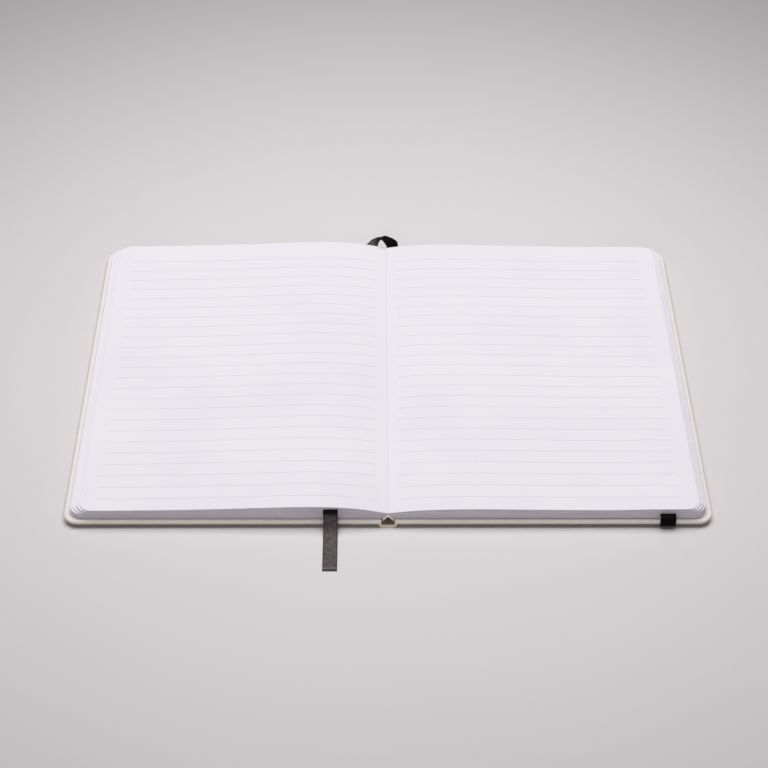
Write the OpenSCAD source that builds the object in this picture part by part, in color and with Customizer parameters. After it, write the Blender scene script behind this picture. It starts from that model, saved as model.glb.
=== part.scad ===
// An open case-bound ruled notebook, lying on a table.
// X runs across the open spread, Y up the page from tail to head, and Z up.
// The origin is on the table, under the middle of the spine strip.

/* [Cover] */
// Width of one covered board, from its joint to its fore-edge
cover_w = 145.8; // [120:0.2:170]
// Height of the cover, tail to head
cover_h = 210; // [180:1:240]
// Thickness of a bare board
board_t = 1.5; // [1.2:0.05:2.6]
// Thickness of the cover cloth
cloth_t = 0.25; // [0.15:0.05:0.35]
// Radius of the cover's outer corners
cover_r = 6.5; // [5:0.5:12]
// Rounding along the cover's edges
edge_r = 0.65; // [0.5:0.05:0.7]
// Width of the cloth that is turned in over the board
turn_in = 14; // [8:1:20]
// Height of the boards above the table
cover_lift = 1.9; // [1.4:0.1:3]
// Thickness of an endpaper
endpaper_t = 0.15; // [0.1:0.05:0.3]
// Cover cloth left bare round an endpaper
endpaper_in = 3; // [2:0.5:5]

/* [Spine] */
// Width of the covered spine strip
spine_w = 7; // [6.8:0.1:9]
// Thickness of the strip's board
strip_t = 1; // [0.6:0.1:1.2]
// Gap between the strip's edge and a board's edge
joint_gap = 0.7; // [0.5:0.1:1.5]
// Thickness of a joint where it stands on the strip
joint_t = 0.4; // [0.3:0.05:0.5]
// Height of the gutter's bottom above the table
gutter_z = 7.2; // [6.8:0.1:7.8]
// Thickness of the glue and paper over the roof's peak
peak_t = 0.5; // [0.3:0.1:0.6]
// Fall of the roof from its peak, for each millimetre out from the gutter
roof_slope = 1.1; // [1:0.05:1.2]
// Thickness of the lining strip
lining_t = 0.6; // [0.4:0.1:0.8]
// Gap between each foot of the lining and the joint beside it
foot_gap = 0.55; // [0.3:0.05:0.8]

/* [Leaves] */
// Cover left bare at the head and tail of the leaves
square = 2; // [1.5:0.5:4]
// Cover left bare at the fore-edge of the leaves
fore_square = 2.6; // [1.5:0.1:4]
// Radius of the leaves' outer corners
leaf_r = 6; // [4:0.5:12]
// Thickness of the leaves on the front cover, near the fore-edge
left_t = 4.2; // [3.2:0.05:5]
// Thickness of the leaves on the back cover, near the fore-edge
right_t = 4.05; // [3.8:0.05:5]
// Height that the left leaves arch up, beside the gutter
left_arch = 3.25; // [0:0.05:3.4]
// Height that the right leaves arch up, beside the gutter
right_arch = 1.75; // [0:0.05:2]
// Distance from the gutter to the top of either arch
arch_x = 34; // [28:1:60]
// How fast the leaves climb out of the gutter
climb_x = 5.5; // [3:0.5:10]
// How far the top left leaf draws back from the lowest at the fore-edge
left_fan = 5; // [2:0.1:8]
// How far the top right leaf draws back from the lowest at the fore-edge
right_fan = 3.8; // [1:0.1:6]
// Number of steps in each fanned fore-edge
fan_steps = 6; // [3:1:8]

/* [Elastic closure] */
// Width of the band
band_w = 7.1; // [4:0.1:10]
// Thickness of the band
band_t = 0.9; // [0.6:0.1:1.1]
// Distance from the cover's fore-edge to the middle of the band
band_in = 21; // [17:0.2:40]
// Radius at which the band turns round the cover's edge
band_r = 1.6; // [1.2:0.1:2.2]
// Height above the endpaper where the band goes between the leaves
band_rise = 2.25; // [1.2:0.05:2.4]
// Distance from the cover's head and tail to the slots in the back cover
slot_in = 12; // [8:1:25]
// Length of each glued end of the band
tab_l = 12; // [6:1:20]
// Clearance round the band
band_gap = 0.15; // [0.1:0.05:0.2]

/* [Ribbon marker] */
// Width of the ribbon
ribbon_w = 6.7; // [4:0.1:7]
// Thickness of the ribbon
ribbon_t = 0.35; // [0.2:0.05:0.4]
// Distance from the gutter to the ribbon at the tail of the leaves
ribbon_tail_x = 26.5; // [20:0.1:60]
// Distance from the gutter to the ribbon at the head of the leaves
ribbon_head_x = 9; // [8.6:0.1:14]
// Share of the left leaves that lie under the ribbon at the head
ribbon_head_share = 0.62; // [0.5:0.02:0.75]
// Depth of the ribbon under the top left leaf at the tail
ribbon_depth = 1.5; // [1.2:0.1:2]
// Length of ribbon on the table past the cover's tail
ribbon_free = 28; // [15:1:60]
// Clearance above and below the ribbon between the leaves
ribbon_gap = 0.15; // [0.1:0.05:0.3]

/* [Hidden] */
$fn = 64;

cover_t = board_t + cloth_t;
inner_x = spine_w / 2 + joint_gap;
outer_x = inner_x + cover_w;
top_z = cover_lift + cover_t;
leaf_z = top_z + endpaper_t;
leaf_h = cover_h - 2 * square;
strip_top = cloth_t + strip_t;

// Where the rigid part of each stack of leaves starts, clear of the folding spine
fold_gap = 0.5;
stack_x = inner_x + fold_gap;
roof_z = gutter_z - peak_t;
hollow_x = spine_w / 2 - joint_t;
lining_x = hollow_x - foot_gap;

// Air between the spine's glued layers, and the corner radius of the turned-in cloth
glue_gap = 0.05;
opening_r = 1;

// The elastic's slots and the recesses for its glued ends
band_x = outer_x - band_in;
slot_y = cover_h / 2 - slot_in;
tab_z = top_z - band_t - band_gap;
band_z = leaf_z + band_rise;
band_out = cover_h / 2 + band_gap + band_t;
band_low = cover_lift - band_gap - band_t;

CLOTH = [0.89, 0.88, 0.84];
BOARD = [0.62, 0.60, 0.56];
PAPER = [0.94, 0.93, 0.95];
LINING = [0.82, 0.79, 0.76];
RIBBON = [0.16, 0.15, 0.16];
ELASTIC = [0.05, 0.05, 0.05];

// Height of the top leaf above the endpaper, at a distance u from the gutter.
// It climbs out of the gutter, arches over and comes down to the thickness at the fore-edge.
// The arch's sharpness is how steeply it rises and falls beside its top.
arch_sharp = 1.5;
function arch(u) = pow(u / arch_x, arch_sharp) * exp(arch_sharp * (1 - u / arch_x));
function climb(u) = 1 - exp(-u / climb_x);
function leaf_top(u, thick, high) =
    gutter_z - leaf_z + (thick - gutter_z + leaf_z) * climb(u) + high * arch(u);

// Lift of the right leaves over the band that lies between them. It starts short of the band
// and is eased over a run of the page.
lift_h = band_t / 2;
lift_start = 4 * band_w;
lift_run = 3.5 * band_w;
function smooth(t) = let (k = max(0, min(1, t))) k * k * (3 - 2 * k);
function band_lift(u) = lift_h * smooth((u - band_x + lift_start) / lift_run);
function left_top(u) = leaf_top(u, left_t, left_arch);
function right_top(u) = leaf_top(u, right_t, right_arch) + band_lift(u);

// A covered board's outline in plan, from its joint edge at x to its fore-edge,
// with the two outer corners rounded
module outline(x, w, h, r) {
    translate([x, -h / 2]) square([w - r, h]);
    translate([x, -h / 2 + r]) square([w, h - 2 * r]);
    for (side = [-1, 1]) translate([x + w - r, side * (h / 2 - r)]) circle(r);
}

// Half of a rounded edge in section, reaching from 0 out to length l
module edge_section(l, t, e) {
    square([l - e, t]);
    translate([0, e]) square([l, t - 2 * e]);
    for (z = [e, t - e]) translate([l - e, z]) circle(e);
}

// A slab with a straight joint edge at x, and the other three edges and two corners rounded over
module slab(x, w, h, t, r, e) {
    translate([x, -h / 2 + r, 0]) cube([w - r, h - 2 * r, t]);
    translate([x + w - r, h / 2 - r, 0]) rotate([90, 0, 0])
        linear_extrude(h - 2 * r) edge_section(r, t, e);
    for (side = [0, 1]) mirror([0, side, 0]) {
        translate([x, h / 2 - r, 0]) rotate([90, 0, 90])
            linear_extrude(w - r) edge_section(r, t, e);
        translate([x + w - r, h / 2 - r, 0]) rotate_extrude(angle = 90) edge_section(r, t, e);
    }
}

// A bare board. Its middle stands up through the opening between the turned-in cloth.
module bare_board() {
    translate([0, 0, cover_lift + cloth_t])
        slab(inner_x, cover_w - cloth_t, cover_h - 2 * cloth_t, cover_t - 2 * cloth_t,
            cover_r - cloth_t, edge_r - cloth_t);
    translate([0, 0, top_z - 2 * cloth_t]) linear_extrude(2 * cloth_t) cloth_opening();
}

module cloth_opening() {
    outline(inner_x, cover_w - turn_in, cover_h - 2 * turn_in, opening_r);
}

module cloth_shell() {
    difference() {
        translate([0, 0, cover_lift]) slab(inner_x, cover_w, cover_h, cover_t, cover_r, edge_r);
        bare_board();
    }
}

module endpaper() {
    translate([0, 0, top_z]) linear_extrude(endpaper_t)
        outline(inner_x, cover_w - endpaper_in, cover_h - 2 * endpaper_in, cover_r - endpaper_in);
}

// The joint's cloth, as long as the cover: a wall from the strip's edge up to the board
module joint_wall() {
    rotate([90, 0, 0]) linear_extrude(cover_h, center = true)
        polygon([[hollow_x, strip_top], [hollow_x, top_z - 2 * glue_gap], [inner_x, top_z],
            [inner_x, cover_lift], [spine_w / 2, cloth_t / 2], [spine_w / 2, strip_top]]);
}

// A band of the space under a stack's top leaf: the share of its height, cut at x = reach.
// Its curve is drawn through a number of points that crowd towards the gutter.
stack_cuts = 18;
crowding = 1.6;
module stack_layer(share, reach, is_left) {
    us = [for (i = [0:stack_cuts]) stack_x + (reach - stack_x) * pow(i / stack_cuts, crowding)];
    intersection() {
        rotate([90, 0, 0]) linear_extrude(leaf_h, center = true)
            polygon(concat([[stack_x, leaf_z], [reach, leaf_z]],
                [for (i = [stack_cuts:-1:0]) [us[i],
                    leaf_z + share * (is_left ? left_top(us[i]) : right_top(us[i]))]]));
        translate([0, 0, leaf_z]) linear_extrude(2 * gutter_z)
            outline(stack_x, reach - stack_x, leaf_h, leaf_r);
    }
}

// A stack of leaves. Each step of the fan is shorter than the one under it.
module stack(fan, is_left) {
    for (i = [1:fan_steps]) stack_layer(i / fan_steps,
        outer_x - fore_square - fan * (i - 1) / (fan_steps - 1), is_left);
}

// Cuts through the back cover for the band, and recesses for its glued ends
module band_slots() {
    for (side = [0, 1]) mirror([0, side, 0]) {
        translate([band_x - band_w / 2 - band_gap, slot_y - band_gap, 0])
            cube([band_w + 2 * band_gap, band_t + 2 * band_gap, top_z]);
        translate([band_x - band_w / 2 - band_gap, slot_y - tab_l - band_gap, tab_z])
            cube([band_w + 2 * band_gap, tab_l + band_t + 2 * band_gap, top_z - tab_z]);
    }
}

// Half of the band in side view, for y > 0: through the leaves, round the cover's edge and
// back under the cover to the slot, then up into the cover and along its recess
module band_section() {
    difference() {
        round_corners(band_out, band_low, band_z + band_t, band_r);
        round_corners(band_out - band_t, band_low + band_t, band_z, band_r - band_t);
        square([slot_y, cover_lift]);
    }
    translate([slot_y, band_low]) square([band_t, tab_z + band_t - band_low]);
    translate([slot_y - tab_l, tab_z]) square([tab_l + band_t, band_t]);
}

module round_corners(reach, low, high, r) {
    translate([0, low]) square([reach - r, high - low]);
    translate([0, low + r]) square([reach, high - low - 2 * r]);
    for (z = [low + r, high - r]) translate([reach - r, z]) circle(r, $fn = 32);
}

// The ribbon's straight run between the left leaves, as its two ends at their middles
run_tail = [-ribbon_tail_x, -leaf_h / 2, leaf_z + left_top(ribbon_tail_x) - ribbon_depth];
run_head = [-ribbon_head_x, leaf_h / 2, leaf_z + ribbon_head_share * left_top(ribbon_head_x)];
run_way = run_head - run_tail;

// The slot that the leaves leave round the ribbon, with a wider mouth at the head, where the
// ribbon turns up out of it
mouth = 0.7;
module ribbon_slot() {
    yaw = atan2(-run_way.x, run_way.y);
    pitch = asin(run_way.z / norm(run_way));
    past = 5;
    translate(run_tail) rotate([pitch, 0, yaw])
        translate([-ribbon_w / 2 - ribbon_gap, -past, -ribbon_t / 2 - ribbon_gap])
            cube([ribbon_w + 2 * ribbon_gap, norm(run_way) + 2 * past,
                ribbon_t + 2 * ribbon_gap]);
    translate([run_head.x - ribbon_w / 2 - mouth, run_head.y - mouth, run_head.z - mouth])
        cube([ribbon_w + 2 * mouth, past, 2 * mouth]);
}

// The ribbon's middle line. Each station is a point, the direction across the ribbon, and the
// angle by which its two halves fold down along the middle. It lies on the table, climbs over
// the cover into the leaves, comes out at the head, loops over to the right and goes in under
// the lining, where its end is glued to the roof.
tail_y = -cover_h / 2;
head_y = cover_h / 2;
roof_angle = atan(roof_slope);
tab_top = roof_z - (lining_t + ribbon_t / 2) / cos(roof_angle) - glue_gap;
ribbon_tab = 10;
touch_down = 8;
FLAT = [1, 0, 0];
stations = [
    [[run_tail.x, tail_y - ribbon_free, ribbon_t / 2], FLAT, 0],
    [[run_tail.x, tail_y - (ribbon_free + touch_down) / 2, ribbon_t / 2], FLAT, 0],
    [[run_tail.x, tail_y - touch_down, ribbon_t / 2 + 0.1], FLAT, 0],
    [[run_tail.x, tail_y - 5, 1], FLAT, 0],
    [[run_tail.x, tail_y - 3, 2.5], FLAT, 0],
    [[run_tail.x, tail_y - 1.4, 4.6], FLAT, 0],
    [[run_tail.x, tail_y, run_tail.z - 2.4], FLAT, 0],
    [[run_tail.x, tail_y + 1, run_tail.z - 0.7], FLAT, 0],
    [run_tail, FLAT, 0],
    [run_head, FLAT, 0],
    [[run_head.x + 2, head_y + 0.5, run_head.z + 0.3], [0.85, -0.46, 0.22], 0],
    [[run_head.x + 3.5, head_y + 1.2, run_head.z + 1.6], [0.57, -0.74, 0.35], 0],
    [[run_head.x + 4.9, head_y + 1.6, run_head.z + 2.9], [0.26, -0.88, 0.39], 0],
    [[run_head.x + 6.4, head_y + 1.8, run_head.z + 3.7], [-0.1, -0.91, 0.39], 0],
    [[run_head.x + 8, head_y + 1.8, run_head.z + 3.6], [-0.38, -0.85, 0.36], 0],
    [[run_head.x + 9.2, head_y + 1.6, run_head.z + 2.5], [-0.55, -0.82, 0.2], 0],
    [[run_head.x + 9.7, head_y + 1.4, run_head.z + 1.1], [-0.72, -0.68, 0.18], 0],
    [[run_head.x + 9.7, head_y + 1.1, run_head.z - 0.2], [-0.92, -0.38, 0.1], -8],
    [[run_head.x + 9.4, head_y + 0.5, run_head.z - 1.2], [-1, -0.1, 0], -26],
    [[run_head.x + 9, head_y - 0.5, tab_top + 0.1], -FLAT, -42],
    [[0, leaf_h / 2 + 0.4, tab_top], -FLAT, -roof_angle],
    [[0, leaf_h / 2 - ribbon_tab, tab_top], -FLAT, -roof_angle]];

function unit(v) = v / norm(v);
function along(i) = unit(stations[min(i + 1, len(stations) - 1)][0] - stations[max(i - 1, 0)][0]);
function across(i) = let (a = along(i), w = stations[i][1]) unit(w - a * (a * w));

// Six points round the ribbon at a station: its two edges and its middle, under and over
function ribbon_ring(i) = let (
    p = stations[i][0],
    w = across(i),
    n = cross(along(i), w),
    fold = stations[i][2],
    out = w * cos(fold) * ribbon_w / 2,
    down = n * sin(fold) * ribbon_w / 2,
    skin = n * ribbon_t / 2)
    [p - out - down - skin, p - skin, p + out - down - skin,
        p + out - down + skin, p + skin, p - out - down + skin];

module spine_strip() {
    color(BOARD) translate([-spine_w / 2 + cloth_t, -cover_h / 2 + cloth_t, cloth_t])
        cube([spine_w - 2 * cloth_t, cover_h - 2 * cloth_t, strip_t]);
}

module spine_cloth() {
    color(CLOTH) difference() {
        translate([-spine_w / 2, -cover_h / 2, 0]) cube([spine_w, cover_h, strip_top]);
        translate([-spine_w / 2 + cloth_t, -cover_h / 2 + cloth_t, cloth_t])
            cube([spine_w - 2 * cloth_t, cover_h - 2 * cloth_t, 2 * strip_t]);
    }
}

module front_joint() {
    color(CLOTH) mirror([1, 0, 0]) joint_wall();
}

module back_joint() {
    color(CLOTH) joint_wall();
}

// The lining strip, glued to the block's back and folded into a roof
module back_lining() {
    w = lining_x;
    drop = lining_t * sqrt(1 + roof_slope * roof_slope);
    color(LINING) rotate([90, 0, 0]) linear_extrude(leaf_h, center = true)
        polygon([[-w, roof_z - roof_slope * w], [0, roof_z], [w, roof_z - roof_slope * w],
            [w, roof_z - roof_slope * w - drop], [0, roof_z - drop],
            [-w, roof_z - roof_slope * w - drop]]);
}

// The glued back of the block, where all the leaves meet at the gutter
back_cuts = 6;
module bound_back() {
    us = [for (i = [0:back_cuts]) stack_x * i / back_cuts];
    low = [[lining_x, roof_z - roof_slope * lining_x], [inner_x, leaf_z], [stack_x, leaf_z]];
    color(PAPER) difference() {
        rotate([90, 0, 0]) linear_extrude(leaf_h, center = true)
            polygon(concat(
                [for (i = [back_cuts:-1:1]) [-us[i], leaf_z + left_top(us[i])]],
                [[0, gutter_z]],
                [for (i = [1:back_cuts]) [us[i], leaf_z + right_top(us[i])]],
                [for (i = [2:-1:0]) low[i]],
                [[0, roof_z]],
                [for (i = [0:2]) [-low[i].x, low[i].y]]));
        ribbon_slot();
    }
}

module front_board() {
    color(BOARD) mirror([1, 0, 0]) bare_board();
}

module back_board() {
    color(BOARD) difference() {
        bare_board();
        band_slots();
    }
}

module front_cover_cloth() {
    color(CLOTH) mirror([1, 0, 0]) cloth_shell();
}

module back_cover_cloth() {
    color(CLOTH) difference() {
        cloth_shell();
        band_slots();
    }
}

module front_endpaper() {
    color(PAPER) mirror([1, 0, 0]) endpaper();
}

module back_endpaper() {
    color(PAPER) endpaper();
}

module left_leaves() {
    color(PAPER) difference() {
        mirror([1, 0, 0]) stack(left_fan, true);
        ribbon_slot();
    }
}

module right_leaves() {
    color(PAPER) difference() {
        stack(right_fan, false);
        translate([band_x - band_w / 2 - band_gap, -leaf_h, band_z - band_gap])
            cube([band_w + 2 * band_gap, 2 * leaf_h, band_t + 2 * band_gap]);
    }
}

module ribbon_marker() {
    n = len(stations);
    last = 6 * (n - 1);
    color(RIBBON) polyhedron([for (i = [0:n - 1]) each ribbon_ring(i)],
        concat([[0, 1, 4, 5], [1, 2, 3, 4]],
            [[last + 5, last + 4, last + 1, last], [last + 4, last + 3, last + 2, last + 1]],
            [for (i = [0:n - 2], k = [0:5]) let (a = 6 * i + k, b = 6 * i + (k + 1) % 6)
                each [[a, a + 6, b + 6], [a, b + 6, b]]]));
}

module elastic_band() {
    color(ELASTIC) for (side = [0, 1]) mirror([0, side, 0])
        translate([band_x - band_w / 2, 0, 0]) rotate([90, 0, 90])
            linear_extrude(band_w) band_section();
}

spine_strip();
spine_cloth();
front_joint();
back_joint();
back_lining();
bound_back();
front_board();
back_board();
front_cover_cloth();
back_cover_cloth();
front_endpaper();
back_endpaper();
left_leaves();
right_leaves();
ribbon_marker();
elastic_band();
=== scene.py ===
import math

import bpy
import numpy as np
from mathutils import Matrix, Vector


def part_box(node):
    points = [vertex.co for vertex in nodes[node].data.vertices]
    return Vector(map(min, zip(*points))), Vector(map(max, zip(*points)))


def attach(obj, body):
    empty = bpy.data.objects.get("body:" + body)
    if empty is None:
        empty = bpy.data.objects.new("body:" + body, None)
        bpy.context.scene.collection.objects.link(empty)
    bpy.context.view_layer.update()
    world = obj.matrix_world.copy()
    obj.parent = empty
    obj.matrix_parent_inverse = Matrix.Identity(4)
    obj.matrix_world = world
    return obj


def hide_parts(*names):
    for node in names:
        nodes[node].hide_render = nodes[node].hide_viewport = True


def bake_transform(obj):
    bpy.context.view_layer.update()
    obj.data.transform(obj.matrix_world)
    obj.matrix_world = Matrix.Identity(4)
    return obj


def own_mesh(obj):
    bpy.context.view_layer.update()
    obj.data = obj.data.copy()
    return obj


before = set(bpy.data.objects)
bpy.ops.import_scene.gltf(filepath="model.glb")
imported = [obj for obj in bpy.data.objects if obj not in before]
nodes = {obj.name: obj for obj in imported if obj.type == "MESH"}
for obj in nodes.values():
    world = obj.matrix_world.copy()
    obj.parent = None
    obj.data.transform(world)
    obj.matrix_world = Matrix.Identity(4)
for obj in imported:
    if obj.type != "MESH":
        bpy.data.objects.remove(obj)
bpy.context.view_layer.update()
MM = 0.001

# Camera, as fitted to the corners of the covers in the photo, with its turns in degrees

SENSOR = 36.0
LENS = 91.36
CAMERA_AT = Vector((-6.4, -748.9, 631.8)) * MM
CAMERA_DOWN = 40.24
CAMERA_RIGHT = 0.38
CAMERA_ROLL = 0.23


def make_camera():
    data = bpy.data.cameras.new("camera")
    data.sensor_width = SENSOR
    data.lens = LENS
    data.clip_end = 20
    camera = bpy.data.objects.new("camera", data)
    turn = (Matrix.Rotation(math.radians(-CAMERA_RIGHT), 4, "Z")
            @ Matrix.Rotation(math.radians(90 - CAMERA_DOWN), 4, "X")
            @ Matrix.Rotation(math.radians(CAMERA_ROLL), 4, "Z"))
    camera.matrix_world = Matrix.Translation(CAMERA_AT) @ turn
    bpy.context.scene.collection.objects.link(camera)
    bpy.context.scene.camera = camera


def area_lamp(name, at, aim, size, power):
    """A soft rectangular lamp that is aimed at a point. Its power is in watts."""
    data = bpy.data.lights.new(name, "AREA")
    data.shape = "RECTANGLE"
    data.size, data.size_y = size
    data.energy = power
    lamp = bpy.data.objects.new(name, data)
    lamp.location = at
    lamp.rotation_euler = (Vector(aim) - Vector(at)).to_track_quat("-Z", "Y").to_euler()
    bpy.context.scene.collection.objects.link(lamp)


# Sizes, in metres, read from the solids where they give them

ROOF_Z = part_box("back_lining")[1].z
ROOF_SLOPE = 1.1
LINING_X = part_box("back_lining")[1].x
INNER_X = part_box("back_board")[0].x
BAND_X = (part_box("elastic_band")[0].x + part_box("elastic_band")[1].x) / 2
BAND_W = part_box("elastic_band")[1].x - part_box("elastic_band")[0].x
ELASTIC_DROP = 0.75 * MM
LEAF_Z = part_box("left_leaves")[0].z
LEAF_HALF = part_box("left_leaves")[1].y
STACK_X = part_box("right_leaves")[0].x
LEAF_CORNER = 6 * MM

# The top leaf climbs out of the gutter within a few CLIMB_X, and its arch is highest at ARCH_X
GUTTER_Z = 7.2 * MM
CLIMB_X = 5.5 * MM
ARCH_X = 34 * MM
ARCH_SHARP = 1.5

# A stack is built of this many sheets, each with a share of its height left open below it and
# slipped a little along the page. Of the fan, BUNDLE_SHARE lies between the loose bundles.
SHEETS = 16
SHEET_GAP = 0.04
SLIP = 0.07 * MM
BUNDLE_SHARE = 0.78

# Where a leaf can bend, in millimetres from the gutter: close together where it climbs
LEAF_BENDS = (1.3, 2.55, 4.2, 4.7, 6, 7.5, 9.5, 12, 15, 19, 24, 30, 37, 45, 55, 67, 81, 96, 104,
              112, 118, 124, 130, 136)
CROSS_BENDS = 11

# The slow waves of a leaf that isn't quite flat: height, length out, length up, start. SAG is
# how much lower the middle of its fore-edge lies than the two ends.
WAVES = (
    (0.06 * MM, 23 * MM, 61 * MM, 0.0),
    (0.05 * MM, -47 * MM, 31 * MM, 1.3),
)
SAG = 0.5 * MM

# Each side of the open notebook: thick is the height of the stack at the fore-edge, arch the
# extra height near the gutter, and lift the extra height over the elastic. Fan is how far the
# top leaf is drawn back, bundles are the shares of the height where the loose bundles begin,
# and tilt is how far the tail stands up. First_line is how far up the page the lowest ruled
# line is, and reach is how far the lowest leaf goes from the gutter.
SIDES = {
    "left": {
        "sign": -1,
        "thick": 4.2 * MM,
        "arch": 3.25 * MM,
        "lift": 0,
        "fan": 5 * MM,
        "bundles": (0.5, 0.68, 0.86),
        "tilt": 0.45 * MM,
        "first_line": -95.2 * MM,
        "reach": -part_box("left_leaves")[0].x,
        "half": "front_half",
        "seed": 4,
    },
    "right": {
        "sign": 1,
        "thick": 4.05 * MM,
        "arch": 1.75 * MM,
        "lift": 0.45 * MM,
        "fan": 3.8 * MM,
        "bundles": (0.6, 0.76, 0.9),
        "tilt": 1.1 * MM,
        "first_line": -94.4 * MM,
        "reach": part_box("right_leaves")[1].x,
        "half": "back_half",
        "seed": 9,
    },
}


# Tools for making and finishing a piece


def start_fresh():
    if bpy.context.mode != "OBJECT":
        bpy.ops.object.mode_set(mode="OBJECT")
    bpy.ops.object.select_all(action="DESELECT")


def pick(piece):
    """Makes this piece the active one, and the only one that is selected."""
    start_fresh()
    piece.select_set(True)
    bpy.context.view_layer.objects.active = piece


def edit(piece, kind="FACE"):
    """Opens a piece in edit mode with all of it selected."""
    pick(piece)
    bpy.ops.object.mode_set(mode="EDIT")
    bpy.ops.mesh.select_mode(type=kind)
    bpy.ops.mesh.select_all(action="SELECT")


def leave_edit():
    bpy.ops.object.mode_set(mode="OBJECT")


def edit_vertices(piece, chosen):
    """Opens a piece in edit mode with only the vertices selected whose place is chosen."""
    edit(piece, "VERT")
    bpy.ops.mesh.select_all(action="DESELECT")
    leave_edit()
    for vertex in piece.data.vertices:
        vertex.select = chosen(vertex.co)
    bpy.ops.object.mode_set(mode="EDIT")


def settle(piece):
    """Puts the piece's place and size into its mesh."""
    pick(piece)
    bpy.ops.object.transform_apply(location=True, rotation=True, scale=True)


def thicken(piece, thickness, offset):
    """Gives a sheet its thickness. An offset of 1 puts it above the sheet, and 0 on both sides."""
    pick(piece)
    modifier = piece.modifiers.new("thicken", "SOLIDIFY")
    modifier.thickness = thickness
    modifier.offset = offset
    bpy.ops.object.modifier_apply(modifier=modifier.name)


def smooth(piece, degrees=30):
    pick(piece)
    bpy.ops.object.shade_smooth_by_angle(angle=math.radians(degrees))


def points_of(mesh):
    co = np.zeros(len(mesh.vertices) * 3)
    mesh.vertices.foreach_get("co", co)
    return co.reshape(-1, 3)


def set_points(mesh, points):
    mesh.vertices.foreach_set("co", points.astype(np.float32).ravel())
    mesh.update()


def cut(piece, at, normal, **options):
    """Cuts all of a piece along a plane."""
    edit(piece)
    bpy.ops.mesh.bisect(plane_co=at, plane_no=normal, **options)
    leave_edit()


def merged_copy(node, name):
    """A copy of a solid with its loose triangles joined up, to be shaped further."""
    piece = bpy.data.objects.new(name, nodes[node].data.copy())
    bpy.context.scene.collection.objects.link(piece)
    edit(piece, "VERT")
    bpy.ops.mesh.remove_doubles(threshold=1e-6)
    bpy.ops.mesh.customdata_custom_splitnormals_clear()
    leave_edit()
    return piece


def paint(piece, material):
    piece.data.materials.clear()
    piece.data.materials.append(material)


# Material tools


class Tree:
    """Short names for the nodes that a material or a node group is made of."""

    def __init__(self, tree):
        self.tree = tree

    def feed(self, node, values):
        """Links or sets a node's inputs, by name or by number."""
        for socket, value in values.items():
            if isinstance(value, bpy.types.NodeSocket):
                self.tree.links.new(value, node.inputs[socket])
            else:
                node.inputs[socket].default_value = value

    def node(self, kind, values=None, **settings):
        made = self.tree.nodes.new(kind)
        for name, value in settings.items():
            setattr(made, name, value)
        self.feed(made, values or {})
        return made

    def math(self, operation, a, b=0.0, c=0.0):
        made = self.node("ShaderNodeMath", {0: a, 1: b, 2: c}, operation=operation)
        return made.outputs[0]

    def between(self, value, low, high):
        """1 between low and high, and 0 elsewhere."""
        above = self.math("GREATER_THAN", value, low)
        return self.math("MULTIPLY", above, self.math("LESS_THAN", value, high))

    def step(self, value, low, high):
        """0 at low and 1 at high, eased between them and flat beyond. Low may be the larger."""
        made = self.node(
            "ShaderNodeMapRange",
            {"Value": value, "From Min": low, "From Max": high},
            interpolation_type="SMOOTHSTEP",
        )
        return made.outputs["Result"]

    def mix(self, share, a, b):
        """Colour a, or b where the share is 1. A mix node has its colours at inputs 6 and 7."""
        made = self.node("ShaderNodeMix", data_type="RGBA")
        self.feed(made, {0: share, 6: a, 7: b})
        return made.outputs[2]

    def noise(self, place, scale, detail, roughness=0.5, stretch=(1, 1, 1)):
        moved = self.node("ShaderNodeMapping", {"Vector": place, "Scale": stretch})
        made = self.node(
            "ShaderNodeTexNoise",
            {
                "Vector": moved.outputs[0],
                "Scale": scale,
                "Detail": detail,
                "Roughness": roughness,
            },
        )
        return made.outputs["Fac"]

    def bump(self, height, distance, strength, normal=None):
        values = {"Height": height, "Distance": distance, "Strength": strength}
        if normal is not None:
            values["Normal"] = normal
        return self.node("ShaderNodeBump", values).outputs[0]


def rgb(red, green, blue):
    """A colour written as it looks on the screen, from 0 to 255, as linear light."""
    linear = []
    for value in (red, green, blue):
        v = value / 255
        linear.append(v / 12.92 if v <= 0.04045 else ((v + 0.055) / 1.055) ** 2.4)
    return (*linear, 1)


def new_material(name):
    material = bpy.data.materials.new(name)
    material.use_nodes = True
    tree = Tree(material.node_tree)
    shader = material.node_tree.nodes["Principled BSDF"]
    place = tree.node("ShaderNodeTexCoord").outputs["Object"]
    return material, tree, shader, place


def new_group(name, inputs, outputs):
    """A node group. Its inputs and outputs are given as (name, type)."""
    group = bpy.data.node_groups.new(name, "ShaderNodeTree")
    for way, sockets in (("INPUT", inputs), ("OUTPUT", outputs)):
        for title, kind in sockets:
            group.interface.new_socket(title, in_out=way, socket_type=kind)
    tree = Tree(group)
    return group, tree, tree.node("NodeGroupInput").outputs, tree.node("NodeGroupOutput")


def make_fibre_group():
    """Fine fibres and slow clouds of tone, as in paper and board."""
    group, tree, given, out = new_group(
        "fibres",
        [
            ("Place", "NodeSocketVector"),
            ("Colour", "NodeSocketColor"),
            ("Shade", "NodeSocketColor"),
            ("Contrast", "NodeSocketFloat"),
        ],
        [("Colour", "NodeSocketColor"), ("Height", "NodeSocketFloat")],
    )
    fine = tree.noise(given["Place"], 1400.0, 3.0, 0.6)
    cloud = tree.noise(given["Place"], 18.0, 3.0)
    both = tree.math("ADD", tree.math("MULTIPLY", fine, 0.45), tree.math("MULTIPLY", cloud, 0.55))
    share = tree.math("MULTIPLY", tree.step(both, 0.35, 0.68), given["Contrast"])
    shown = tree.mix(share, given["Colour"], given["Shade"])
    tree.feed(out, {"Colour": shown, "Height": fine})
    return group


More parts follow.
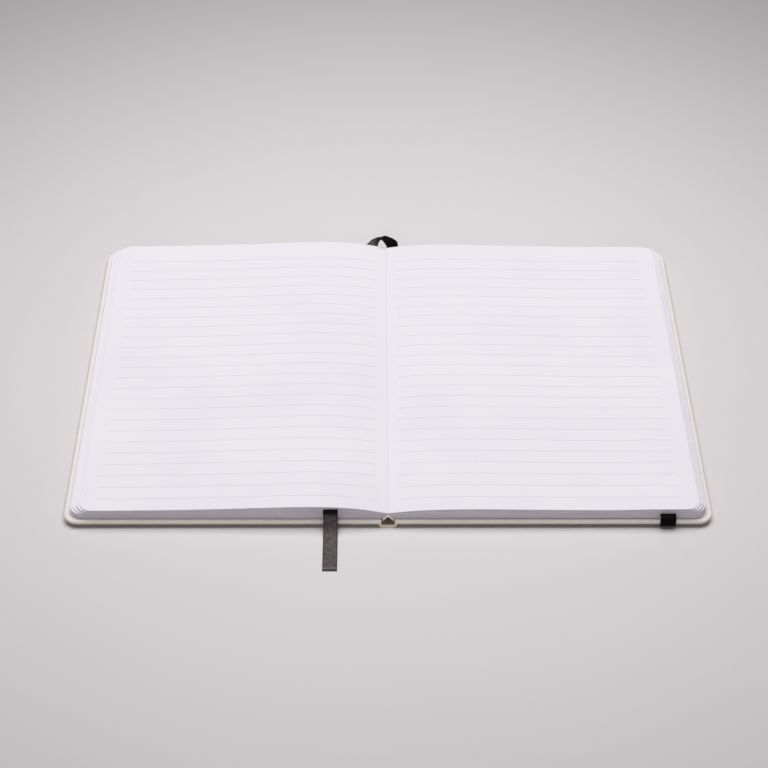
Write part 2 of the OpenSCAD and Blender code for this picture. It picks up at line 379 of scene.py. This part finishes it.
def make_weave_group():
    """Crossing threads. Place counts threads: one unit along X or Y is one thread."""
    group, tree, given, out = new_group(
        "threads",
        [("Place", "NodeSocketVector"), ("Rib", "NodeSocketFloat")],
        [("Height", "NodeSocketFloat"), ("Gap", "NodeSocketFloat")],
    )
    split = tree.node("ShaderNodeSeparateXYZ", {0: given["Place"]})
    across = tree.math("SINE", tree.math("MULTIPLY", split.outputs[0], math.tau))
    along = tree.math("SINE", tree.math("MULTIPLY", split.outputs[1], math.tau))
    crossing = tree.math("MULTIPLY", across, along)
    ribs = tree.math("MULTIPLY", along, given["Rib"])
    height = tree.math("ADD", tree.math("MULTIPLY", crossing, 0.5), ribs)
    raised = tree.math("MULTIPLY_ADD", height, 0.5, 0.5)
    tree.feed(out, {"Height": raised, "Gap": tree.step(height, 0.1, -0.7)})
    return group


FIBRES = make_fibre_group()
WEAVE = make_weave_group()


def fibres(tree, place, colour, shade, contrast):
    values = {"Place": place, "Colour": colour, "Shade": shade, "Contrast": contrast}
    made = tree.node("ShaderNodeGroup", values, node_tree=FIBRES)
    return made.outputs["Colour"], made.outputs["Height"]


def weave(tree, place, threads, rib):
    """A weave with this many threads to the metre, across and along."""
    counted = tree.node("ShaderNodeMapping", {"Vector": place, "Scale": (*threads, 1)})
    values = {"Place": counted.outputs[0], "Rib": rib}
    made = tree.node("ShaderNodeGroup", values, node_tree=WEAVE)
    return made.outputs["Height"], made.outputs["Gap"]


# Paper: ruled lines on the page, and the leaves' edges as fine stripes

LINE_COUNT = 24
LINE_PITCH = 8 * MM
LINE_HALF = 0.11 * MM
LINE_SOFT = 0.08 * MM
LINE_FROM = 5.5 * MM
LINE_TO = 134.9 * MM
EDGE_STRIPES = 46
FIBRE_DEPTH = 0.02 * MM


def ruled_lines(tree, x, y):
    """1 on a ruled line and 0 beside it, at a height y above the lowest line."""
    count = tree.math("DIVIDE", y, LINE_PITCH)
    beside = tree.math("ABSOLUTE", tree.math("SUBTRACT", count, tree.math("ROUND", count)))
    away = tree.math("MULTIPLY", beside, LINE_PITCH)
    line = tree.step(away, LINE_HALF + LINE_SOFT, LINE_HALF)
    counted = tree.between(count, -0.5, LINE_COUNT - 0.5)
    wide = tree.between(tree.math("ABSOLUTE", x), LINE_FROM, LINE_TO)
    return tree.math("MULTIPLY", line, tree.math("MULTIPLY", counted, wide))


def paper_material():
    material, tree, shader, _ = new_material("ruled paper")
    place = tree.node("ShaderNodeAttribute", attribute_name="page_place").outputs["Vector"]
    split = tree.node("ShaderNodeSeparateXYZ", {0: place})
    x, y, depth = split.outputs[0], split.outputs[1], split.outputs[2]
    sheet, fine = fibres(tree, place, rgb(239, 235, 241), rgb(231, 227, 234), 0.5)
    line = tree.math("MULTIPLY", ruled_lines(tree, x, y), 0.48)
    page = tree.mix(line, sheet, rgb(186, 183, 192))
    # Each bundle's edge is in shade at the foot of the bundle above, most on the right at the tail
    past = tree.node("ShaderNodeAttribute", attribute_name="past_next").outputs["Fac"]
    near = tree.math("MULTIPLY", tree.step(past, 0.45 * MM, 0.0), 0.28)
    at_tail = tree.math("MULTIPLY_ADD", y, -0.72, 0.225)
    right = tree.math("MULTIPLY", tree.math("GREATER_THAN", x, 0.0), at_tail)
    shade_amount = tree.math("ADD", tree.math("ADD", near, right), 0.02)
    shade = tree.math("MULTIPLY", tree.step(past, -0.2 * MM, 0.0), shade_amount)
    page = tree.mix(shade, page, rgb(176, 170, 184))
    # A fine grey line of painted shade in the crease where the two open leaves meet
    out = tree.math("ABSOLUTE", x)
    gutter_shade = tree.math("MULTIPLY", tree.step(out, 0.55 * MM, 0.1 * MM), 0.2)
    page = tree.mix(gutter_shade, page, rgb(186, 182, 190))
    # Leaf edges are fine stripes that run along the curve of the stack and wander a little. Their
    # light stripes are painted lighter than the page, as painted light on these upright faces
    leaf = tree.math("MULTIPLY", depth, EDGE_STRIPES)
    wander = tree.math("MULTIPLY", tree.noise(place, 60.0, 2.0), 1.6)
    stripe = tree.math("SINE", tree.math("MULTIPLY", tree.math("ADD", leaf, wander), math.tau))
    light = tree.math("MULTIPLY_ADD", stripe, 0.5, 0.5)
    edges = tree.mix(light, rgb(238, 232, 240), rgb(253, 249, 254))
    # Slow layers of painted shade across them, where the leaves don't lie quite even
    layers = tree.noise(place, 1.0, 3.0, stretch=(14, 14, 9))
    uneven_shade = tree.math("MULTIPLY", tree.step(layers, 0.4, 0.62), 0.4)
    edges = tree.mix(uneven_shade, edges, rgb(214, 207, 217))
    upright = tree.node("ShaderNodeAttribute", attribute_name="leaf_edge").outputs["Fac"]
    grain = tree.bump(fine, FIBRE_DEPTH, 0.35)
    ridge = tree.bump(tree.math("MULTIPLY", stripe, upright), 0.04 * MM, 0.5, grain)
    tree.feed(shader, {
        "Base Color": tree.mix(tree.step(upright, 0.4, 0.6), page, edges),
        "Roughness": 0.85,
        "Specular IOR Level": 0.25,
        "Normal": ridge,
    })
    return material


def plain_paper_material(name, light, dark):
    material, tree, shader, place = new_material(name)
    sheet, fine = fibres(tree, place, light, dark, 0.6)
    tree.feed(shader, {
        "Base Color": sheet,
        "Roughness": 0.85,
        "Specular IOR Level": 0.25,
        "Normal": tree.bump(fine, FIBRE_DEPTH, 0.35),
    })
    return material


def cover_material():
    """A cream covering with a fine pebbled grain and slow clouds of tone."""
    material, tree, shader, place = new_material("cream cover")
    cells = tree.node("ShaderNodeTexVoronoi", {"Vector": place, "Scale": 1900.0},
                      feature="DISTANCE_TO_EDGE").outputs["Distance"]
    pebble = tree.step(cells, 0.0, 0.35)
    cloud = tree.noise(place, 30.0, 4.0)
    base = tree.mix(tree.step(cloud, 0.35, 0.65), rgb(232, 227, 222), rgb(237, 232, 227))
    hollow = tree.math("MULTIPLY", tree.math("SUBTRACT", 1.0, pebble), 0.35)
    grained = tree.mix(hollow, base, rgb(221, 213, 206))
    # The turned edges are painted a little warmer and lighter than the flat of the cover: painted
    # light on these steep faces, which get less light
    facing = tree.node("ShaderNodeTexCoord").outputs["Normal"]
    flat = tree.math("ABSOLUTE", tree.node("ShaderNodeSeparateXYZ", {0: facing}).outputs[2])
    tree.feed(shader, {
        "Base Color": tree.mix(tree.step(flat, 0.95, 0.3), grained, rgb(252, 239, 224)),
        "Roughness": tree.math("MULTIPLY_ADD", cloud, 0.15, 0.5),
        "Specular IOR Level": 0.4,
        "Normal": tree.bump(pebble, 0.04 * MM, 0.6),
    })
    return material


def ribbon_material():
    material, tree, shader, _ = new_material("satin ribbon")
    place = tree.node("ShaderNodeUVMap", uv_map="threads").outputs[0]
    height, gap = weave(tree, place, (9000, 3400), 0.7)
    split = tree.node("ShaderNodeSeparateXYZ", {0: place})
    side, along = tree.math("ABSOLUTE", split.outputs[0]), split.outputs[1]
    cloud = tree.noise(place, 420.0, 4.0, 0.65)
    body = tree.mix(tree.step(cloud, 0.35, 0.65), rgb(74, 65, 66), rgb(106, 96, 98))
    cloth = tree.mix(tree.math("MULTIPLY", gap, 0.6), body, rgb(44, 40, 42))
    # Both selvedges and the cut end are dark, and a pale line runs beside the cut end
    selvedge = tree.step(side, 2.6 * MM, 3.1 * MM)
    cut_end = tree.step(along, 1.2 * MM, 0.8 * MM)
    bound = tree.math("MULTIPLY", tree.math("MAXIMUM", selvedge, cut_end), 0.7)
    cloth = tree.mix(bound, cloth, rgb(36, 32, 34))
    from_line = tree.math("ABSOLUTE", tree.math("SUBTRACT", along, 1.7 * MM))
    pale = tree.math("MULTIPLY", tree.step(from_line, 0.5 * MM, 0.1 * MM), 0.4)
    cloth = tree.mix(pale, cloth, rgb(150, 142, 145))
    # Painted shade: it is painted nearly black where it comes out from under the top leaves, and
    # past the loop's top
    leaving = tree.step(along, EXIT_RUN - 4.2 * MM, EXIT_RUN - 1.2 * MM)
    inside = tree.step(along, EXIT_RUN + 12 * MM, EXIT_RUN + 2 * MM)
    turned = tree.step(along, LOOP_RUN - 5 * MM, LOOP_RUN)
    shade_amount = tree.math("MAXIMUM", tree.math("MULTIPLY", leaving, inside), turned)
    dark = tree.math("MULTIPLY", shade_amount, 0.95)
    tree.feed(shader, {
        "Base Color": tree.mix(dark, cloth, rgb(11, 7, 6)),
        "Roughness": 0.55,
        "Specular IOR Level": tree.math("MULTIPLY_ADD", dark, -0.28, 0.3),
        "Normal": tree.bump(height, 0.06 * MM, 0.6),
    })
    return material


def elastic_material():
    material, tree, shader, place = new_material("black elastic")
    # X runs across the band, and Y and Z together run along it
    split = tree.node("ShaderNodeSeparateXYZ", {0: place})
    run = tree.math("ADD", split.outputs[1], split.outputs[2])
    band = tree.node("ShaderNodeCombineXYZ", {0: split.outputs[0], 1: run})
    height, gap = weave(tree, band.outputs[0], (1400, 1700), 0.4)
    tree.feed(shader, {
        "Base Color": tree.mix(gap, rgb(12, 9, 8), rgb(4, 3, 3)),
        "Roughness": 0.9,
        "Specular IOR Level": 0.12,
        "Normal": tree.bump(height, 0.1 * MM, 0.7),
    })
    return material


def lining_material():
    material, tree, shader, place = new_material("spine lining")
    height, gap = weave(tree, place, (2500, 2500), 0.0)
    thin = tree.math("MULTIPLY", gap, 0.4)
    tree.feed(shader, {
        "Base Color": tree.mix(thin, rgb(252, 245, 240), rgb(232, 222, 215)),
        "Roughness": 0.9,
        "Normal": tree.bump(height, 0.05 * MM, 0.5),
    })
    return material


# The leaves


def base_height(u):
    """Height of a stack's underside at a distance u from the gutter."""
    at = [0, LINING_X, INNER_X, STACK_X]
    under = [ROOF_Z, ROOF_Z - ROOF_SLOPE * LINING_X, LEAF_Z, LEAF_Z]
    return np.interp(u, at, under)


def top_height(u, side):
    """Height of a stack's top leaf at a distance u from the gutter. On the right it begins to
    lift four widths of the elastic before the elastic's middle."""
    gutter = GUTTER_Z - LEAF_Z
    climb = 1 - np.exp(-u / CLIMB_X)
    arch = (u / ARCH_X) ** ARCH_SHARP * np.exp(ARCH_SHARP * (1 - u / ARCH_X))
    over = np.clip((u - BAND_X + 4 * BAND_W) / (3.5 * BAND_W), 0, 1)
    lift = side["lift"] * over * over * (3 - 2 * over)
    return LEAF_Z + gutter + (side["thick"] - gutter) * climb + side["arch"] * arch + lift


def flat_sheet(name, side):
    """One leaf lying flat, 1 m thick for now, cut into strips so that it can bend."""
    reach, sign = side["reach"], side["sign"]
    start_fresh()
    bpy.ops.mesh.primitive_plane_add(size=1, location=(sign * reach / 2, 0, 0))
    sheet = bpy.context.object
    sheet.name = name
    sheet.scale = (reach, 2 * LEAF_HALF, 1)
    settle(sheet)
    edit_vertices(sheet, lambda place: abs(place.x) > reach / 2)
    bpy.ops.mesh.bevel(offset=LEAF_CORNER, offset_type="OFFSET", segments=12, profile=0.5,
                       affect="VERTICES")
    leave_edit()
    for x in LEAF_BENDS:
        cut(sheet, (sign * x * MM, 0, 0), (1, 0, 0))
    for i in range(CROSS_BENDS):
        y = (i - CROSS_BENDS // 2) * LEAF_HALF / (CROSS_BENDS / 2)
        cut(sheet, (0, y, 0), (0, 1, 0))
    thicken(sheet, 1, 1)
    return sheet


def page_wave(u, y, side):
    """The unevenness of a leaf that has been opened: it stands up a little at the tail, sags in
    the middle, and is never quite flat."""
    out = np.clip(u / side["reach"], 0, 1) ** 1.5
    down = -y / LEAF_HALF
    lean = side["tilt"] * down + SAG * (down * down - 0.35)
    slow = sum(high * np.sin(u / across + y / along + start)
               for high, across, along, start in WAVES)
    return out * lean + slow * np.clip(u / ARCH_X, 0, 1)


def make_leaves(name, side):
    """All the leaves on one side as one piece: flat sheets, bent and stacked from the cover up."""
    master = flat_sheet(name, side)
    flat = points_of(master.data)
    upper = flat[:, 2] > 0.5
    rng = np.random.default_rng(side["seed"])
    # Each loose bundle near the top is drawn back from the one below, and the leaves slope back
    # a little within it. The last reach is past any leaf, because nothing lies on the top one.
    order = np.arange(SHEETS)
    bundle = np.searchsorted(side["bundles"], order / SHEETS) / len(side["bundles"])
    back = BUNDLE_SHARE * bundle + (1 - BUNDLE_SHARE) * order / (SHEETS - 1)
    reaches = [*(side["reach"] - side["fan"] * back), 1]
    copies = []
    for i in range(SHEETS):
        share = np.where(upper, i + 1, i + SHEET_GAP) / SHEETS
        slip = rng.uniform(-SLIP, SLIP) * (i < SHEETS - 1)
        u = np.abs(flat[:, 0]) * reaches[i] / side["reach"]
        x = side["sign"] * u
        y = flat[:, 1] + slip
        rise = base_height(u) + share * (top_height(u, side) - base_height(u))
        z = rise + page_wave(u, y, side) * share
        mesh = master.data.copy()
        set_points(mesh, np.stack([x, y, z], axis=1))
        sheet = bpy.data.objects.new(f"{name}_sheet", mesh)
        bpy.context.scene.collection.objects.link(sheet)
        # What the paper's material reads: the place on the page, with the share of the stack's
        # height as its third value, and how far a point lies past the edge of the leaf above
        place = mesh.attributes.new("page_place", "FLOAT_VECTOR", "POINT")
        values = np.stack([x, y - side["first_line"], share], axis=1)
        place.data.foreach_set("vector", values.astype(np.float32).ravel())
        past = mesh.attributes.new("past_next", "FLOAT", "POINT")
        past.data.foreach_set("value", (u - reaches[i + 1]).astype(np.float32))
        copies.append(sheet)
    start_fresh()
    for sheet in copies:
        sheet.select_set(True)
    bpy.context.view_layer.objects.active = copies[0]
    bpy.ops.object.join()
    leaves = copies[0]
    bpy.data.objects.remove(master)
    leaves.name = name
    mark = leaves.data.attributes.new("leaf_edge", "FLOAT", "FACE")
    steep = [1.0 if abs(face.normal.z) < 0.5 else 0.0 for face in leaves.data.polygons]
    mark.data.foreach_set("value", steep)
    smooth(leaves, 35)
    return leaves


# The ribbon marker

RIBBON_W = 6.7 * MM
RIBBON_T = 0.35 * MM

# Along the ribbon from its free end: where it comes out from under the leaves, and its loop's top
EXIT_RUN = 34.4 * MM
LOOP_RUN = 249.5 * MM

# Each station is a point in millimetres, the direction across, and the fold along the middle in
# degrees
HEAD = 105.0
TAIL = -105.0
TAIL_X = -26.5
RUN_TAIL = (TAIL_X, -103, 9.62)
RUN_HEAD = (-9.0, 103, 7.12)
TAB_TOP = 5.49
ROOF_FOLD = math.degrees(math.atan(ROOF_SLOPE))
STATIONS = [
    ((TAIL_X, TAIL - 28, 0.185), (1, 0, 0), 0),
    ((TAIL_X, TAIL - 18, 0.185), (1, 0, 0), 0),
    ((TAIL_X, TAIL - 8, 0.285), (1, 0, 0), 0),
    ((TAIL_X, TAIL - 5, 1), (1, 0, 0), 0),
    ((TAIL_X, TAIL - 3, 2.5), (1, 0, 0), 0),
    ((TAIL_X, TAIL - 1.4, 4.6), (1, 0, 0), 0),
    ((TAIL_X, TAIL, RUN_TAIL[2] - 2.4), (1, 0, 0), 0),
    ((TAIL_X, TAIL + 1, RUN_TAIL[2] - 0.7), (1, 0, 0), 0),
    (RUN_TAIL, (1, 0, 0), 0),
    (RUN_HEAD, (1, 0, 0), 0),
    ((-7, HEAD + 0.5, RUN_HEAD[2] + 0.3), (0.85, -0.46, 0.22), 0),
    ((-5.5, HEAD + 1.2, RUN_HEAD[2] + 1.6), (0.57, -0.74, 0.35), 0),
    ((-4.1, HEAD + 1.6, RUN_HEAD[2] + 2.9), (0.26, -0.88, 0.39), 0),
    ((-2.6, HEAD + 1.8, RUN_HEAD[2] + 3.7), (-0.1, -0.91, 0.39), 0),
    ((-1.3, HEAD + 1.7, RUN_HEAD[2] + 3.4), (-0.38, -0.85, 0.36), 0),
    ((0, HEAD + 1.7, RUN_HEAD[2] + 2.5), (-0.47, -0.84, 0.27), 0),
    ((1.2, HEAD + 1.8, RUN_HEAD[2] + 1.4), (-0.52, -0.83, 0.18), 0),
    ((2.5, HEAD + 2, RUN_HEAD[2] + 0.4), (-0.6, -0.79, 0.1), 0),
    ((3.6, HEAD + 2, RUN_HEAD[2] - 0.8), (-0.69, -0.71, 0.05), 0),
    ((3.8, HEAD + 1.9, RUN_HEAD[2] - 1.5), (-0.82, -0.52, 0), 0),
    ((2.3, HEAD + 1.3, RUN_HEAD[2] - 1.8), (-0.96, -0.27, 0), -12),
    ((0.6, HEAD + 0.2, TAB_TOP + 0.05), (-1, -0.08, 0), -32),
    ((0, 103.4, TAB_TOP), (-1, 0, 0), -ROOF_FOLD),
    ((0, 93, TAB_TOP), (-1, 0, 0), -ROOF_FOLD),
]

# Steps from one station to the next, and places across the ribbon
STATION_STEPS = 4
PLACES_ACROSS = 9


def curve_through(values):
    """Points on a smooth curve through the given ones, a few from each one to the next."""
    values = np.array(values, float).reshape(len(values), -1)
    ends = np.vstack([2 * values[0] - values[1], values, 2 * values[-1] - values[-2]])
    found = []
    for i in range(1, len(ends) - 2):
        a, b, c, d = ends[i - 1:i + 3]
        for k in range(STATION_STEPS):
            t = k / STATION_STEPS
            found.append(0.5 * (2 * b + (c - a) * t + (2 * a - 5 * b + 4 * c - d) * t * t
                                + (3 * b - 3 * c + d - a) * t ** 3))
    found.append(ends[-2])
    return np.array(found)


def make_ribbon():
    """A strap along the stations: a curve at the tail, a straight run, and a curve at the head."""
    tail = [station for station in STATIONS if station[0][1] < 0]
    head = [station for station in STATIONS if station[0][1] > 0]
    line, across, fold = [
        np.vstack([curve_through([station[k] for station in end]) for end in (tail, head)])
        for k in range(3)
    ]
    line = line * MM
    way = np.gradient(line, axis=0)
    way /= np.linalg.norm(way, axis=1)[:, None]
    across -= way * (across * way).sum(1)[:, None]
    across /= np.linalg.norm(across, axis=1)[:, None]
    normal = np.cross(way, across)
    run = np.concatenate([[0], np.cumsum(np.linalg.norm(np.diff(line, axis=0), axis=1))])
    places = np.linspace(-1, 1, PLACES_ACROSS)
    verts, uvs = [], []
    for i, centre in enumerate(line):
        angle = math.radians(fold[i, 0])
        for p in places:
            out = across[i] * math.cos(angle) * p
            down = normal[i] * math.sin(angle) * abs(p)
            verts.append(centre + (out - down) * RIBBON_W / 2)
            uvs.append((p * RIBBON_W / 2, run[i]))
    n = len(places)
    faces = [(n * i + k, n * i + k + 1, n * i + n + k + 1, n * i + n + k)
             for i in range(len(line) - 1) for k in range(n - 1)]
    mesh = bpy.data.meshes.new("ribbon")
    mesh.from_pydata(verts, [], faces)
    layer = mesh.uv_layers.new(name="threads")
    for loop in mesh.loops:
        layer.data[loop.index].uv = uvs[loop.vertex_index]
    ribbon = bpy.data.objects.new("ribbon", mesh)
    bpy.context.scene.collection.objects.link(ribbon)
    thicken(ribbon, RIBBON_T, 0)
    smooth(ribbon, 50)
    return ribbon


# The two cloth joints, the lining, and the elastic

JOINT_CUTS = (3.5, 3.65, 3.8, 4.0)
LINING_PAST = 0.8 * MM


def make_joint(name, node, sign):
    """A cloth joint with extra cuts across its bend, which are in millimetres from the middle."""
    joint = merged_copy(node, name)
    for x in JOINT_CUTS:
        cut(joint, (sign * x * MM, 0, 0), (1, 0, 0))
    smooth(joint)
    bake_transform(joint)
    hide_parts(node)
    return joint


def make_lining_half(name, sign):
    """One slope of the lining's roof, a little longer than the solid."""
    half = merged_copy("back_lining", name)
    cut(half, (0, 0, 0), (sign, 0, 0), clear_inner=True, use_fill=True)
    points = points_of(half.data)
    points[:, 1] *= 1 + LINING_PAST / LEAF_HALF
    set_points(half.data, points)
    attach(half, "spine")
    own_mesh(half)
    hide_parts("back_lining")
    return half


def make_elastic():
    """The elastic, pulled down a little lower where it turns over the head of the cover."""
    elastic = merged_copy("elastic_band", "elastic_strap")
    cut(elastic, (0, LEAF_HALF - 2 * MM, 0), (0, 1, 0))
    cut(elastic, (0, LEAF_HALF, 0), (0, 1, 0))
    edit_vertices(elastic, lambda place: place.y > LEAF_HALF - 0.1 * MM and place.z > LEAF_Z)
    bpy.ops.transform.translate(value=(0, 0, -ELASTIC_DROP))
    leave_edit()
    smooth(elastic)
    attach(elastic, "back_half")
    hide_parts("elastic_band")
    return elastic


# Floor and light

FLOOR_SIZE = 8


def floor_material():
    material, tree, shader, place = new_material("grey paper floor")
    away = tree.node("ShaderNodeVectorMath", {0: place}, operation="LENGTH").outputs["Value"]
    # A painted pool of light: the floor is painted lightest at the middle and darker further out
    tone = tree.mix(tree.step(away, 0.08, 0.63), rgb(225, 221, 222), rgb(147, 144, 145))
    cloud = tree.math("MULTIPLY", tree.noise(place, 9.0, 3.0), 0.06)
    tree.feed(shader, {
        "Base Color": tree.mix(cloud, tone, rgb(150, 148, 148)),
        "Roughness": 0.9,
        "Specular IOR Level": 0.15,
    })
    return material


def make_stage():
    start_fresh()
    bpy.ops.mesh.primitive_plane_add(size=FLOOR_SIZE, location=(0, 0, 0))
    floor = bpy.context.object
    floor.name = "floor"
    paint(floor, floor_material())
    area_lamp("overhead", (-0.03, 0.34, 1.58), (0, 0.02, 0), (1.6, 1.2), 29.2)
    area_lamp("front_fill", (-0.3, -1.7, 0.75), (0, 0, 0), (1.2, 0.5), 3.5)
    area_lamp("right_fill", (1.3, 0.1, 1.2), (0, 0, 0), (0.8, 0.8), 0.6)
    world = bpy.data.worlds.new("studio")
    world.use_nodes = True
    background = world.node_tree.nodes["Background"]
    Tree(world.node_tree).feed(background, {"Color": (0.93, 0.94, 1, 1), "Strength": 0.05})
    bpy.context.scene.world = world


# Putting it together

make_camera()
cover = cover_material()
paper = paper_material()
endpaper = plain_paper_material("endpaper", rgb(234, 232, 232), rgb(224, 222, 222))
board = plain_paper_material("binder's board", rgb(160, 156, 148), rgb(120, 116, 108))
strip = plain_paper_material("brown strip", rgb(186, 162, 142), rgb(160, 138, 120))
lining = lining_material()

for node in ("front_cover_cloth", "back_cover_cloth", "spine_cloth"):
    paint(nodes[node], cover)
for node in ("front_board", "back_board"):
    paint(nodes[node], board)
paint(nodes["spine_strip"], strip)
for node in ("front_endpaper", "back_endpaper"):
    paint(nodes[node], endpaper)

for side_name, side in SIDES.items():
    leaves = make_leaves(f"{side_name}_page_leaves", side)
    paint(leaves, paper)
    sign = side["sign"]
    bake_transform(leaves)
    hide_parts(f"{side_name}_leaves", "bound_back")

for part, sign in (("front", -1), ("back", 1)):
    joint = make_joint(f"{part}_joint_cloth", f"{part}_joint", sign)
    paint(joint, cover)

for side_name, part, sign in (("left", "front", -1), ("right", "back", 1)):
    half = make_lining_half(f"{side_name}_lining", sign)
    paint(half, lining)

elastic = make_elastic()
paint(elastic, elastic_material())

ribbon = make_ribbon()
paint(ribbon, ribbon_material())
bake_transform(ribbon)
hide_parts("ribbon_marker")

make_stage()
bpy.context.scene.view_settings.view_transform = "Standard"

start_fresh()
